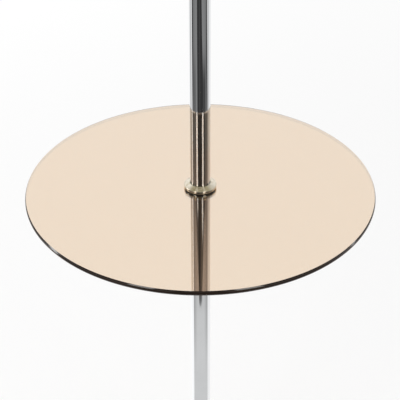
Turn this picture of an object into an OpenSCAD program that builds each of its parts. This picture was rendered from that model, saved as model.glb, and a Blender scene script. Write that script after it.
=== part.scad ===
// Floor lamp with a round tinted-glass table clamped half-way up its pole.
// Origin: centre of the base on the floor. +Z is up, +Y is the back, where the cord inlet is.

/* [Overall] */
// Height of the lamp, from the floor to the top of the shade
lamp_height = 1500; // [1350:10:1700]
// Height of the table, from the floor to the top face of the glass
table_height = 560; // [450:5:700]

/* [Pole] */
// Outside diameter of the two pole tubes
pole_d = 25; // [22:0.5:28]
// Wall thickness of the pole tubes
pole_wall = 1.5; // [1:0.1:2.5]
// Length of the threaded bush pressed into each tube end
bush_len = 14; // [12:1:25]

/* [Threaded tube] */
// Outside diameter of the hollow threaded tubes that hold the lamp together
nipple_d = 10; // [9:0.5:11]
// Wall thickness of the threaded tubes
nipple_wall = 1.5; // [1.2:0.1:1.8]
// Depth to which a threaded tube is screwed into a bush
nipple_engage = 10; // [7:1:12]
// Width across the flats of the hexagon nuts
nut_af = 14; // [13:0.5:17]
// Thickness of the hexagon nuts
nut_h = 4; // [3:0.5:5]
// Length of thread that shows past a nut
nut_tail = 1.5; // [1:0.5:2.5]

/* [Collars] */
// Outside diameter of the bevelled collars
collar_d = 40; // [36:1:48]
// Height of a collar
collar_h = 6.5; // [5.5:0.5:10]
// Height of the straight rim below the bevel
collar_rim_h = 3.4; // [2:0.2:4.4]
// Depth of the seat that the tube end stands in
collar_seat = 3; // [2:0.25:4]
// Width of the narrow lip round the seat
collar_lip = 0.4; // [0.3:0.1:1]

/* [Glass table] */
// Diameter of the glass
table_d = 430; // [380:5:500]
// Thickness of the glass
glass_t = 6; // [4:0.5:8]
// Diameter of the hole in the glass
glass_hole_d = 14; // [13.5:0.5:17]
// Radius to which the edge of the glass is rounded
glass_edge_r = 4.6; // [4:0.1:12]
// Diameter of the rubber washers above and below the glass
washer_d = 38; // [30:1:40]
// Thickness of the rubber washers
washer_t = 0.8; // [0.5:0.1:2]

/* [Base] */
// Diameter of the base
base_d = 280; // [250:5:330]
// Height of the base, from the floor to its top face
base_h = 30; // [29:1:45]
// Radius of the rounded upper edge of the base
base_edge_r = 8; // [4:1:12]
// Sheet thickness of the base cover
cover_wall = 1.5; // [0.8:0.1:2]
// Gap between the rim of the cover and the floor pad's upper face
cover_lift = 0.5; // [0.3:0.1:1]
// Thickness of the felt pad
pad_t = 3; // [2.5:0.5:5]
// Thickness of the steel plate that closes the base from below
plate_t = 1.5; // [1:0.1:2]
// Depth of the hollow in the underside of the weight
bay_depth = 18; // [18:0.5:20]
// Width of the wiring channel in the weight
bay_w = 30; // [26:1:40]
// Diameter of the round hollow for the nut
recess_d = 60; // [50:1:80]
// Thickness of the steel washer above the base nut
tie_washer_t = 1.5; // [1:0.1:2]
// Diameter of the steel washer above the base nut
tie_washer_d = 34; // [24:1:40]
// Diameter of the circle that the plate screws stand on
screw_circle_d = 140; // [120:5:160]
// Shank diameter of the plate screws
screw_d = 4; // [3:0.5:5]
// Depth to which the plate screws enter the weight
screw_len = 12; // [8:1:16]

/* [Cord inlet] */
// Diameter of the cord that the inlet takes
cord_bore_d = 7; // [6:0.2:8]
// Wall thickness of the inlet bush
gland_wall = 1.4; // [1:0.1:2]
// Width of the flange of the inlet bush
gland_flange_w = 2.4; // [1.5:0.1:3]
// Thickness of the flange of the inlet bush
gland_flange_t = 2.5; // [1.5:0.1:3]
// Thickness of the nut behind the inlet bush
gland_nut_t = 2.5; // [2:0.1:4]
// Diameter of the cable inside the pole
cable_d = 5.2; // [4.5:0.1:6]
// Centre-line radius of the bend in the base
cable_bend_r = 7; // [6.5:0.1:7.4]

/* [Terminal block] */
// Width of the terminal block
block_w = 20; // [18:1:24]
// Length of the terminal block
block_l = 26; // [20:1:34]
// Height of the terminal block
block_h = 14; // [12:0.5:15]
// Distance from the pole axis to the terminal block
block_y = 52; // [45:1:70]
// Diameter of the terminal screws
terminal_d = 3; // [2:0.5:4]

/* [Switch housing] */
// Width of the housing's underside outside the head collar
housing_ledge = 13; // [13:0.5:20]
// Height of the switch housing
housing_h = 34; // [30:1:45]
// Sheet thickness of the switch housing
housing_wall = 1.2; // [0.8:0.1:1.5]
// Radius of the rounded lower edge of the switch housing
housing_edge_r = 3; // [2:0.5:3.5]
// Thickness of the lid of the switch housing
lid_t = 1.5; // [1:0.1:2.5]
// Depth of the ring that centres the lid in the housing
lid_rim_h = 3; // [2:0.5:4]
// Height of the switch module
switch_h = 21; // [18:1:22]
// Width of the switch module
switch_w = 14; // [12:1:15]

/* [Pull chain] */
// Diameter of the chain's beads
bead_d = 3.2; // [2.8:0.1:3.4]
// Distance between the centres of two beads
bead_pitch = 4.4; // [4.2:0.1:5.5]
// Number of beads
bead_count = 30; // [15:1:40]
// Thickness of the wire between the beads
link_d = 1; // [0.8:0.1:1.4]
// Travel of the pull chain
pull_travel = 10; // [6:1:12]
// Diameter of the bell at the end of the chain
bell_d = 12; // [9:0.5:14]
// Height of the bell at the end of the chain
bell_h = 17; // [12:1:25]

/* [Lampholder] */
// Outside diameter of the lampholder
holder_d = 39; // [38:0.5:42]
// Wall thickness of the lampholder's lower cup
holder_wall = 2.2; // [1.8:0.1:2.6]
// Height of the lampholder's lower cup
holder_cup_h = 20; // [18:0.5:24]
// Height of the lampholder's threaded skirt
skirt_h = 36; // [34:1:42]
// Thickness of the plate that carries the contacts
insert_t = 4; // [3:0.5:5]
// Height of the screw shell in the lampholder
shell_h = 23; // [18:1:26]
// Wall thickness of the screw shell
shell_wall = 0.6; // [0.4:0.1:0.8]
// Diameter of the two rings that clamp the shade
shade_ring_d = 54; // [50:1:60]
// Thickness of the rings that clamp the shade
shade_ring_h = 5; // [4:0.5:6]

/* [Bulb] */
// Outside diameter of the bulb's screw cap
bulb_cap_d = 26.4; // [26:0.1:26.8]
// Length of the bulb's screw cap
bulb_cap_h = 22; // [20:1:24]
// Diameter of the bulb
bulb_d = 60; // [50:1:70]
// Length of the glass envelope above the screw cap
bulb_glass_h = 78; // [72:1:95]
// Wall thickness of the bulb's glass
bulb_wall = 0.8; // [0.6:0.1:1.2]

/* [Shade] */
// Outside diameter of the shade
shade_d = 420; // [360:5:425]
// Height of the shade
shade_h = 260; // [220:5:300]
// Thickness of the lined shade wall
shade_wall = 1; // [0.8:0.1:1.6]
// Thickness of the wire in the shade's rings and arms
wire_d = 4; // [3:0.5:5]
// Height of the hub above the lower edge of the shade
hub_rise = 45; // [38:1:60]
// Thickness of the hub plate
hub_t = 1.5; // [1:0.1:2.5]
// Inner radius of the bend in each arm
arm_bend_r = 10; // [6:1:20]
// Height of the edging tapes
trim_h = 9; // [6:1:14]
// Thickness of the edging tapes
trim_t = 0.8; // [0.5:0.1:1.2]

/* [Hidden] */
$fn = 96;
overcut = 1;            // how far a cutting tool runs past the face it cuts
fit_gap = 0.05;         // radial gap of a screwed or pressed fit
slide_gap = 0.2;        // radial gap of a part that slides or drops in
hole_gap = 0.25;        // radial gap of a through hole for the threaded tube
wall_gap = 0.3;         // gap between two curved walls

pole_r = pole_d / 2;
bush_r = pole_r - pole_wall - fit_gap;
nipple_r = nipple_d / 2;
nipple_bore_r = nipple_r - nipple_wall;
thread_hole_r = nipple_r + fit_gap;
clear_hole_r = nipple_r + hole_gap;
cable_r = cable_d / 2;
collar_r = collar_d / 2;
collar_web = collar_h - collar_seat;
collar_top_r = pole_r + slide_gap + collar_lip;

// heights in the base
plate_z = pad_t;
weight_z = plate_z + plate_t;
cover_z = pad_t + cover_lift;
bay_top = weight_z + bay_depth;
tie_washer_z = bay_top - tie_washer_t;
base_nut_z = tie_washer_z - nut_h;
base_nipple_z = base_nut_z - nut_tail;
base_r = base_d / 2;
weight_r = base_r - cover_wall - wall_gap;
plate_r = weight_r - 1;
cable_low_z = base_nipple_z - cable_bend_r;
block_z = bay_top - block_h;
screw_head_d = 2 * screw_d;
screw_head_h = 0.55 * screw_d;

// heights along the lower pole
lower_pole_z = base_h + collar_web;
glass_z = table_height - glass_t;
glass_edge_drop = glass_edge_r - sqrt(pow(glass_edge_r, 2) - pow(glass_t / 2, 2));
glass_corner_r = table_d / 2 - glass_edge_drop;
lower_washer_z = glass_z - washer_t;
lower_collar_z = lower_washer_z - collar_h;
lower_pole_top = lower_washer_z - collar_web;
upper_collar_z = table_height + washer_t;
upper_pole_z = upper_collar_z + collar_web;

// heights in the head, worked out downwards from the top of the shade
ring_seat_z = lamp_height - shade_h + hub_rise;
ring_low_h = 6;         // from the skirt's foot to the lower shade ring
holder_z = ring_seat_z - shade_ring_h - ring_low_h - holder_cup_h;
skirt_z = holder_z + holder_cup_h;
lid_z = holder_z - lid_t;
housing_z = lid_z - housing_h;
head_collar_z = housing_z - collar_h;
upper_pole_top = housing_z - collar_web;
housing_r = collar_r + housing_ledge;
housing_in_r = housing_r - housing_wall;
housing_nut_z = housing_z + housing_wall;
lid_nut_z = lid_z - nut_h;

// switch and chain
plunger_r = bead_d / 2 + slide_gap;
plunger_hole_r = plunger_r + slide_gap;
nozzle_bore_r = plunger_r + 2 * slide_gap;
nozzle_r = nozzle_bore_r + 1.2;
nozzle_flange_r = nozzle_r + 0.8;
chain_x = collar_r + nozzle_flange_r + 0.4;
nozzle_drop = 7;        // how far the nozzle hangs below the housing
nozzle_lip_z = housing_z - nozzle_drop;
nozzle_nut_t = 2;
switch_z = housing_z + housing_wall + nozzle_nut_t;
switch_x0 = nut_af / 2 / cos(30) + slide_gap;
switch_x1 = sqrt(pow(housing_in_r, 2) - pow(switch_w / 2, 2)) - wall_gap - 0.2;
plunger_top = switch_z + switch_h - 2;
plunger_z = nozzle_lip_z + pull_travel + 0.5;
bell_top_r = bead_d / 2 + 0.8;
bead_sink = bead_d / 2 - 0.1;   // how far the last bead's centre lies inside the bell
chain_len = (bead_count - 1) * bead_pitch;
bell_z = plunger_z - chain_len - bead_d / 2 - bell_h + bead_sink;

// lampholder and bulb
holder_r = holder_d / 2;
thread_r = holder_r - fit_gap;
insert_r = holder_r - 1.5;
insert_boss_h = holder_cup_h / 2 - 1;
skirt_bore_r = bulb_cap_d / 2 + shell_wall + 0.75;
shell_r = skirt_bore_r - fit_gap;
shell_z = skirt_z + insert_t + 1;
contact_t = 1.2;
contact_z = skirt_z + insert_t;
bulb_z = contact_z + contact_t + 0.3;
bulb_tip_h = 1.5;       // solder tip under the bulb
bulb_cone_h = 3;        // black insulating cone above the tip
bulb_cap_z = bulb_z + bulb_tip_h + bulb_cone_h;
bulb_glass_z = bulb_cap_z + bulb_cap_h;
bulb_r = bulb_d / 2;
bulb_neck_r = bulb_cap_d / 2 - 0.1;
bulb_centre_h = bulb_glass_h - bulb_r;
bulb_neck_h = max(4, skirt_z + skirt_h - bulb_glass_z + 0.5);

// shade
shade_r = shade_d / 2;
shade_z = lamp_height - shade_h;
wire_r = wire_d / 2;
shade_ring_path_r = shade_r - shade_wall - wire_r - 0.1;
hub_r = shade_ring_d / 2;
hub_bore_r = holder_r + slide_gap;
arm_count = 3;
arm_z = ring_seat_z + hub_t / 2;

// ---- shapes that repeat ----

module ring(outer_r, inner_r, height) {
    difference() {
        cylinder(h = height, r = outer_r);
        translate([0, 0, -overcut])
            cylinder(h = height + 2 * overcut, r = inner_r);
    }
}

// disc whose upper edge is rounded
module rounded_disc(radius, height, edge_r) {
    rotate_extrude() {
        square([radius - edge_r, height]);
        square([radius, height - edge_r]);
        translate([radius - edge_r, height - edge_r])
            intersection() {
                circle(r = edge_r);
                square(edge_r);
            }
    }
}

// wire bent to a full circle
module wire_ring(path_r) {
    rotate_extrude()
        translate([path_r, 0])
            circle(r = wire_r, $fn = 32);
}

// bevelled collar, flat face down, with the seat for a tube end on top
module collar() {
    color("wheat")
        difference() {
            union() {
                cylinder(h = collar_rim_h, r = collar_r);
                translate([0, 0, collar_rim_h])
                    cylinder(h = collar_h - collar_rim_h, r1 = collar_r, r2 = collar_top_r);
            }
            translate([0, 0, -overcut])
                cylinder(h = collar_h + 2 * overcut, r = clear_hole_r);
            translate([0, 0, collar_web])
                cylinder(h = collar_h, r = pole_r + slide_gap);
        }
}

module collar_upside_down() {
    translate([0, 0, collar_h])
        mirror([0, 0, 1])
            collar();
}

// threaded bush pressed into a tube end
module tube_bush() {
    color("darkgray")
        ring(bush_r, thread_hole_r, bush_len);
}

// hollow threaded tube
module nipple(length) {
    color("gold")
        ring(nipple_r, nipple_bore_r, length);
}

module hex_nut(across_flats, bore_r, height) {
    color("gold")
        difference() {
            cylinder(h = height, r = across_flats / 2 / cos(30), $fn = 6);
            translate([0, 0, -overcut])
                cylinder(h = height + 2 * overcut, r = bore_r);
        }
}

module pole_tube(length) {
    color("silver")
        ring(pole_r, pole_r - pole_wall, length);
}

module glass_washer() {
    color("dimgray")
        ring(washer_d / 2, glass_hole_d / 2, washer_t);
}

// places its child at each plate screw
module at_plate_screws() {
    for (angle = [30, 150, 270])
        rotate([0, 0, angle])
            translate([screw_circle_d / 2, 0, 0])
                children();
}

// ---- base ----

module felt_pad() {
    color("darkslategray")
        difference() {
            cylinder(h = pad_t, r = plate_r);
            at_plate_screws()
                translate([0, 0, -overcut])
                    cylinder(h = pad_t + 2 * overcut, r = screw_head_d / 2 + wall_gap);
        }
}

module bottom_plate() {
    color("gray")
        translate([0, 0, plate_z])
            difference() {
                cylinder(h = plate_t, r = plate_r);
                at_plate_screws()
                    translate([0, 0, -overcut])
                        cylinder(h = plate_t + 2 * overcut, r = screw_d / 2 + slide_gap);
            }
}

module plate_screws() {
    slot_w = 0.25 * screw_d;
    color("silver")
        at_plate_screws()
            difference() {
                union() {
                    translate([0, 0, plate_z - screw_head_h])
                        cylinder(h = screw_head_h, r = screw_head_d / 2);
                    translate([0, 0, plate_z - screw_head_h / 2])
                        cylinder(h = plate_t + screw_len + screw_head_h / 2, r = screw_d / 2);
                }
                for (turn = [0, 90])
                    rotate([0, 0, turn])
                        translate([-screw_d / 2, -slot_w / 2, plate_z - screw_head_h - overcut])
                            cube([screw_d, slot_w, overcut + screw_head_h / 2]);
            }
}

module base_weight() {
    weight_h = base_h - cover_wall - weight_z;
    color("dimgray")
        difference() {
            translate([0, 0, weight_z])
                rounded_disc(weight_r, weight_h, max(base_edge_r - cover_wall - wall_gap, 1));
            translate([0, 0, weight_z - overcut])
                cylinder(h = weight_h + 2 * overcut, r = clear_hole_r);
            translate([0, 0, weight_z - overcut])
                cylinder(h = bay_depth + overcut, r = recess_d / 2);
            translate([-bay_w / 2, 0, weight_z - overcut])
                cube([bay_w, base_r, bay_depth + overcut]);
            at_plate_screws()
                translate([0, 0, weight_z - overcut])
                    cylinder(h = screw_len + 1 + overcut, r = screw_d / 2 + fit_gap);
        }
}

module base_cover() {
    cover_h = base_h - cover_z;
    color("silver")
        difference() {
            translate([0, 0, cover_z])
                rounded_disc(base_r, cover_h, base_edge_r);
            translate([0, 0, cover_z - overcut])
                rounded_disc(base_r - cover_wall, cover_h - cover_wall + overcut,
                    base_edge_r - cover_wall);
            cylinder(h = base_h + overcut, r = clear_hole_r);
            translate([0, base_r - 4 * cover_wall, gland_z()])
                rotate([-90, 0, 0])
                    cylinder(h = 8 * cover_wall, r = gland_neck_r() + slide_gap);
        }
}

// ---- cord inlet and wiring ----

function gland_neck_r() = cord_bore_d / 2 + gland_wall;
function gland_z() = weight_z + bay_depth / 2;
function gland_nut_y() = sqrt(pow(base_r - cover_wall, 2) - pow(gland_nut_r(), 2)) - gland_nut_t;
function gland_nut_r() = gland_neck_r() + 1.6;

module cord_gland() {
    neck_y = gland_nut_y() - 1;
    color("black")
        translate([0, neck_y, gland_z()])
            rotate([-90, 0, 0])
                difference() {
                    union() {
                        cylinder(h = base_r - neck_y + gland_flange_t, r = gland_neck_r());
                        translate([0, 0, base_r - neck_y])
                            cylinder(h = gland_flange_t, r = gland_neck_r() + gland_flange_w);
                    }
                    translate([0, 0, -overcut])
                        cylinder(h = base_r, r = cord_bore_d / 2);
                }
}

module gland_nut() {
    color("dimgray")
        translate([0, gland_nut_y() - fit_gap, gland_z()])
            rotate([-90, 0, 0])
                difference() {
                    cylinder(h = gland_nut_t, r = gland_nut_r(), $fn = 12);
                    translate([0, 0, -overcut])
                        cylinder(h = gland_nut_t + 2 * overcut, r = gland_neck_r() + fit_gap);
                }
}

terminal_pitch = block_w / 2;

// places its child at each of the four terminal screws
module at_terminals() {
    for (side = [-0.5, 0.5], end = [0.25, 0.75])
        translate([side * terminal_pitch, block_y + end * block_l, block_z])
            children();
}

module terminal_block() {
    color("ivory")
        difference() {
            translate([-block_w / 2, block_y, block_z])
                cube([block_w, block_l, block_h]);
            for (side = [-0.5, 0.5])
                translate([side * terminal_pitch, block_y - overcut, block_z + block_h / 2])
                    rotate([-90, 0, 0])
                        cylinder(h = block_l + 2 * overcut, r = terminal_d / 2);
            at_terminals()
                translate([0, 0, -overcut])
                    cylinder(h = block_h / 2 + overcut, r = terminal_d / 2 + fit_gap);
        }
}

module terminal_screws() {
    slot_w = 0.2 * terminal_d;
    screw_h = block_h / 2 - 1;
    color("gold")
        at_terminals()
            translate([0, 0, 0.5])
                difference() {
                    cylinder(h = screw_h, r = terminal_d / 2);
                    translate([-terminal_d, -slot_w / 2, -overcut])
                        cube([2 * terminal_d, slot_w, overcut + 0.8]);
                }
}

// cable from the terminal block, round the bend under the pole and up to the lampholder
module inner_cable() {
    cable_top = skirt_z - insert_boss_h - fit_gap;
    color("white") {
        translate([0, cable_bend_r, cable_low_z])
            rotate([-90, 0, 0])
                cylinder(h = block_y - cable_bend_r - fit_gap, r = cable_r);
        translate([0, cable_bend_r, base_nipple_z])
            rotate([90, 0, -90])
                rotate([0, 0, -90])
                    rotate_extrude(angle = 90)
                        translate([cable_bend_r, 0])
                            circle(r = cable_r);
        translate([0, 0, base_nipple_z])
            cylinder(h = cable_top - base_nipple_z, r = cable_r);
    }
}

module base_washer() {
    color("silver")
        translate([0, 0, tie_washer_z])
            ring(tie_washer_d / 2, clear_hole_r, tie_washer_t);
}

module base_nut() {
    translate([0, 0, base_nut_z])
        hex_nut(nut_af, thread_hole_r, nut_h);
}

module base_nipple() {
    translate([0, 0, base_nipple_z])
        nipple(lower_pole_z + nipple_engage - base_nipple_z);
}

// ---- pole and table ----

module base_collar() {
    translate([0, 0, base_h])
        collar();
}

module lower_pole() {
    translate([0, 0, lower_pole_z])
        pole_tube(lower_pole_top - lower_pole_z);
}

module lower_pole_foot_bush() {
    translate([0, 0, lower_pole_z])
        tube_bush();
}

module lower_pole_head_bush() {
    translate([0, 0, lower_pole_top - bush_len])
        tube_bush();
}

module lower_collar() {
    translate([0, 0, lower_collar_z])
        collar_upside_down();
}

module lower_washer() {
    translate([0, 0, lower_washer_z])
        glass_washer();
}

module table_glass() {
    color("bisque", 0.5)
        translate([0, 0, glass_z])
            difference() {
                rotate_extrude() {
                    square([glass_corner_r, glass_t]);
                    intersection() {
                        translate([table_d / 2 - glass_edge_r, glass_t / 2])
                            circle(r = glass_edge_r);
                        translate([glass_corner_r, 0])
                            square([glass_edge_drop, glass_t]);
                    }
                }
                translate([0, 0, -overcut])
                    cylinder(h = glass_t + 2 * overcut, r = glass_hole_d / 2);
            }
}

module glass_bush() {
    color("white")
        translate([0, 0, lower_washer_z + fit_gap])
            ring(glass_hole_d / 2 - slide_gap, thread_hole_r, glass_t + 2 * (washer_t - fit_gap));
}

module upper_washer() {
    translate([0, 0, table_height])
        glass_washer();
}

module upper_collar() {
    translate([0, 0, upper_collar_z])
        collar();
}

module table_nipple() {
    translate([0, 0, lower_pole_top - nipple_engage])
        nipple(upper_pole_z - lower_pole_top + 2 * nipple_engage);
}

module upper_pole() {
    translate([0, 0, upper_pole_z])
        pole_tube(upper_pole_top - upper_pole_z);
}

module upper_pole_foot_bush() {
    translate([0, 0, upper_pole_z])
        tube_bush();
}

module upper_pole_head_bush() {
    translate([0, 0, upper_pole_top - bush_len])
        tube_bush();
}

// ---- head: switch housing ----

module head_collar() {
    translate([0, 0, head_collar_z])
        collar_upside_down();
}

module head_nipple() {
    translate([0, 0, upper_pole_top - nipple_engage])
        nipple(housing_nut_z + nut_h + nut_tail - upper_pole_top + nipple_engage);
}

module switch_housing() {
    color("silver")
        difference() {
            translate([0, 0, lid_z])
                mirror([0, 0, 1])
                    difference() {
                        rounded_disc(housing_r, housing_h, housing_edge_r);
                        translate([0, 0, -overcut])
                            rounded_disc(housing_in_r, housing_h - housing_wall + overcut,
                                housing_edge_r - housing_wall);
                    }
            translate([0, 0, housing_z - overcut])
                cylinder(h = housing_wall + 2 * overcut, r = clear_hole_r);
            translate([chain_x, 0, housing_z - overcut])
                cylinder(h = housing_wall + 2 * overcut, r = nozzle_r + fit_gap);
        }
}

module housing_nut() {
    translate([0, 0, housing_nut_z])
        hex_nut(nut_af, thread_hole_r, nut_h);
}

module housing_lid() {
    color("silver")
        translate([0, 0, lid_z]) {
            ring(housing_r, clear_hole_r, lid_t);
            translate([0, 0, -lid_rim_h])
                ring(housing_in_r - slide_gap, housing_in_r - slide_gap - housing_wall, lid_rim_h);
        }
}

module lid_nut() {
    translate([0, 0, lid_nut_z])
        hex_nut(nut_af, thread_hole_r, nut_h);
}

module lid_nipple() {
    translate([0, 0, lid_nut_z - nut_tail])
        nipple(holder_z + holder_wall + 2 - lid_nut_z + nut_tail);
}

module switch_module() {
    color("black")
        difference() {
            translate([switch_x0, -switch_w / 2, switch_z])
                cube([switch_x1 - switch_x0, switch_w, switch_h]);
            translate([chain_x, 0, switch_z - overcut])
                cylinder(h = plunger_top - switch_z + slide_gap + overcut, r = plunger_hole_r);
        }
}

module chain_nozzle() {
    neck_h = nozzle_drop + housing_wall + nozzle_nut_t;
    color("gold")
        translate([chain_x, 0, nozzle_lip_z])
            difference() {
                union() {
                    cylinder(h = neck_h, r = nozzle_r);
                    cylinder(h = 1.2, r = nozzle_flange_r);
                    translate([0, 0, nozzle_drop - 1.5])
                        cylinder(h = 1.5, r = nozzle_flange_r);
                }
                translate([0, 0, -overcut])
                    cylinder(h = neck_h + 2 * overcut, r = nozzle_bore_r);
            }
}

module nozzle_nut() {
    translate([chain_x, 0, housing_z + housing_wall])
        color("gold")
            ring(nozzle_r + 1, nozzle_r + fit_gap, nozzle_nut_t - fit_gap);
}

module switch_plunger() {
    color("ivory")
        translate([chain_x, 0, plunger_z])
            cylinder(h = plunger_top - plunger_z, r = plunger_r);
}

module pull_chain() {
    color("gold")
        translate([chain_x, 0, plunger_z - bead_d / 2]) {
            for (bead = [0:bead_count - 1])
                translate([0, 0, -bead * bead_pitch])
                    sphere(r = bead_d / 2, $fn = 24);
            translate([0, 0, -chain_len])
                cylinder(h = chain_len, r = link_d / 2);
        }
}

module pull_bell() {
    color("gold")
        translate([chain_x, 0, bell_z])
            difference() {
                union() {
                    cylinder(h = 2, r = bell_d / 2);
                    translate([0, 0, 2])
                        cylinder(h = bell_h - 2, r1 = bell_d / 2 - 0.5, r2 = bell_top_r);
                }
                translate([0, 0, bell_h - bead_sink - bead_d / 2])
                    cylinder(h = bell_h, r = bead_d / 2 + fit_gap);
            }
}

// ---- head: lampholder ----

module holder_cup() {
    color("black")
        translate([0, 0, holder_z])
            difference() {
                translate([0, 0, holder_cup_h])
                    mirror([0, 0, 1])
                        rounded_disc(holder_r, holder_cup_h, 4);
                translate([0, 0, holder_wall])
                    difference() {
                        cylinder(h = holder_cup_h, r = holder_r - holder_wall);
                        cylinder(h = 4, r = thread_hole_r + 2.5);
                    }
                translate([0, 0, -overcut])
                    cylinder(h = holder_cup_h, r = thread_hole_r);
            }
}

module holder_insert() {
    color("ivory")
        translate([0, 0, skirt_z]) {
            cylinder(h = insert_t, r = insert_r);
            translate([0, 0, -insert_boss_h])
                cylinder(h = insert_boss_h, r = insert_r - holder_wall);
        }
}

module centre_contact() {
    color("gold")
        translate([0, 0, contact_z])
            cylinder(h = contact_t, r = 4);
}

module holder_shell() {
    color("gold")
        translate([0, 0, shell_z])
            ring(shell_r, shell_r - shell_wall, shell_h);
}

module holder_skirt() {
    color("black")
        translate([0, 0, skirt_z])
            difference() {
                cylinder(h = skirt_h, r = thread_r);
                translate([0, 0, -overcut])
                    cylinder(h = insert_t + overcut, r = insert_r + fit_gap);
                cylinder(h = skirt_h + overcut, r = skirt_bore_r);
            }
}

module shade_clamp_ring() {
    color("black")
        difference() {
            ring(shade_ring_d / 2, holder_r, shade_ring_h);
            for (notch = [0:23])
                rotate([0, 0, notch * 15])
                    translate([shade_ring_d / 2 + 0.2, 0, -overcut])
                        cylinder(h = shade_ring_h + 2 * overcut, r = 0.8, $fn = 24);
        }
}

module lower_shade_ring() {
    translate([0, 0, ring_seat_z - shade_ring_h])
        shade_clamp_ring();
}

module upper_shade_ring() {
    translate([0, 0, ring_seat_z + hub_t])
        shade_clamp_ring();
}

// ---- head: shade ----

module shade_hub() {
    color("white")
        translate([0, 0, ring_seat_z])
            ring(hub_r + wire_d, hub_bore_r, hub_t);
}

// one arm: level run from the hub, bend, then down to the lower ring
module shade_arm() {
    reach = shade_ring_path_r;
    start_r = hub_r + wire_d + fit_gap;
    bend_centre_r = reach - arm_bend_r;
    foot_z = shade_z + trim_t + wire_d + fit_gap;
    translate([start_r, 0, arm_z])
        rotate([0, 90, 0])
            cylinder(h = bend_centre_r - start_r, r = wire_r);
    translate([bend_centre_r, 0, arm_z - arm_bend_r])
        rotate([90, 0, 0])
            rotate_extrude(angle = 90)
                translate([arm_bend_r, 0])
                    circle(r = wire_r);
    translate([reach, 0, foot_z])
        cylinder(h = arm_z - arm_bend_r - foot_z, r = wire_r);
}

module shade_arms() {
    color("white")
        for (arm = [0:arm_count - 1])
            rotate([0, 0, 90 + arm * 360 / arm_count])
                shade_arm();
}

module shade_bottom_ring() {
    color("white")
        translate([0, 0, shade_z + trim_t + wire_r])
            wire_ring(shade_ring_path_r);
}

module shade_top_ring() {
    color("white")
        translate([0, 0, lamp_height - trim_t - wire_r])
            wire_ring(shade_ring_path_r);
}

module shade_panel() {
    color("linen")
        translate([0, 0, shade_z + trim_t])
            ring(shade_r, shade_r - shade_wall, shade_h - 2 * trim_t);
}

// edging tape with its folded-over lip at the bottom
module edge_trim() {
    color("linen")
        difference() {
            cylinder(h = trim_h, r = shade_r + trim_t);
            translate([0, 0, trim_t])
                cylinder(h = trim_h, r = shade_r + fit_gap);
            translate([0, 0, -overcut])
                cylinder(h = trim_h, r = shade_r - shade_wall);
        }
}

module bottom_trim() {
    translate([0, 0, shade_z])
        edge_trim();
}

module top_trim() {
    translate([0, 0, lamp_height])
        mirror([0, 0, 1])
            edge_trim();
}

// ---- head: bulb ----

module bulb_tip() {
    color("silver")
        translate([0, 0, bulb_z])
            cylinder(h = bulb_tip_h, r1 = 3.5, r2 = 4.5);
}

module bulb_insulator() {
    color("black")
        translate([0, 0, bulb_z + bulb_tip_h])
            cylinder(h = bulb_cone_h, r1 = 5, r2 = bulb_cap_d / 2 - 1);
}

module bulb_cap() {
    color("silver")
        translate([0, 0, bulb_cap_z])
            difference() {
                cylinder(h = bulb_cap_h, r = bulb_cap_d / 2);
                translate([0, 0, 1])
                    cylinder(h = bulb_cap_h, r = bulb_cap_d / 2 - 0.5);
            }
}

// pear shape: round head, cone that runs just inside its surface, short straight neck
module pear(head_r, neck_r) {
    rise = bulb_centre_h - bulb_neck_h;
    touch_r = head_r - 0.2;
    reach = sqrt(rise * rise + neck_r * neck_r);
    lean = asin(touch_r / reach) - atan2(neck_r, rise);
    slope = sqrt(reach * reach - touch_r * touch_r);
    translate([0, 0, bulb_centre_h])
        sphere(r = head_r);
    translate([0, 0, bulb_neck_h])
        cylinder(h = slope * cos(lean), r1 = neck_r, r2 = neck_r + slope * sin(lean));
    translate([0, 0, -overcut])
        cylinder(h = bulb_neck_h + overcut, r = neck_r);
}

module bulb_glass() {
    color("white", 0.8)
        translate([0, 0, bulb_glass_z])
            difference() {
                pear(bulb_r, bulb_neck_r);
                pear(bulb_r - bulb_wall, bulb_neck_r - bulb_wall);
                translate([0, 0, -2 * overcut])
                    cylinder(h = 2 * overcut, r = bulb_r);
            }
}

// ---- one node at a time, or the whole lamp ----

felt_pad();
bottom_plate();
plate_screws();
base_weight();
base_cover();
cord_gland();
gland_nut();
terminal_block();
terminal_screws();
base_washer();
base_nut();
base_nipple();
base_collar();
lower_pole();
lower_pole_foot_bush();
lower_pole_head_bush();
lower_collar();
lower_washer();
table_glass();
glass_bush();
upper_washer();
upper_collar();
table_nipple();
upper_pole();
upper_pole_foot_bush();
upper_pole_head_bush();
inner_cable();
head_collar();
head_nipple();
switch_housing();
housing_nut();
housing_lid();
lid_nipple();
lid_nut();
switch_module();
chain_nozzle();
nozzle_nut();
switch_plunger();
pull_chain();
pull_bell();
holder_cup();
holder_insert();
centre_contact();
holder_shell();
holder_skirt();
lower_shade_ring();
upper_shade_ring();
shade_hub();
shade_arms();
shade_bottom_ring();
shade_top_ring();
shade_panel();
bottom_trim();
top_trim();
bulb_tip();
bulb_insulator();
bulb_cap();
bulb_glass();
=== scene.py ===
import math

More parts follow.
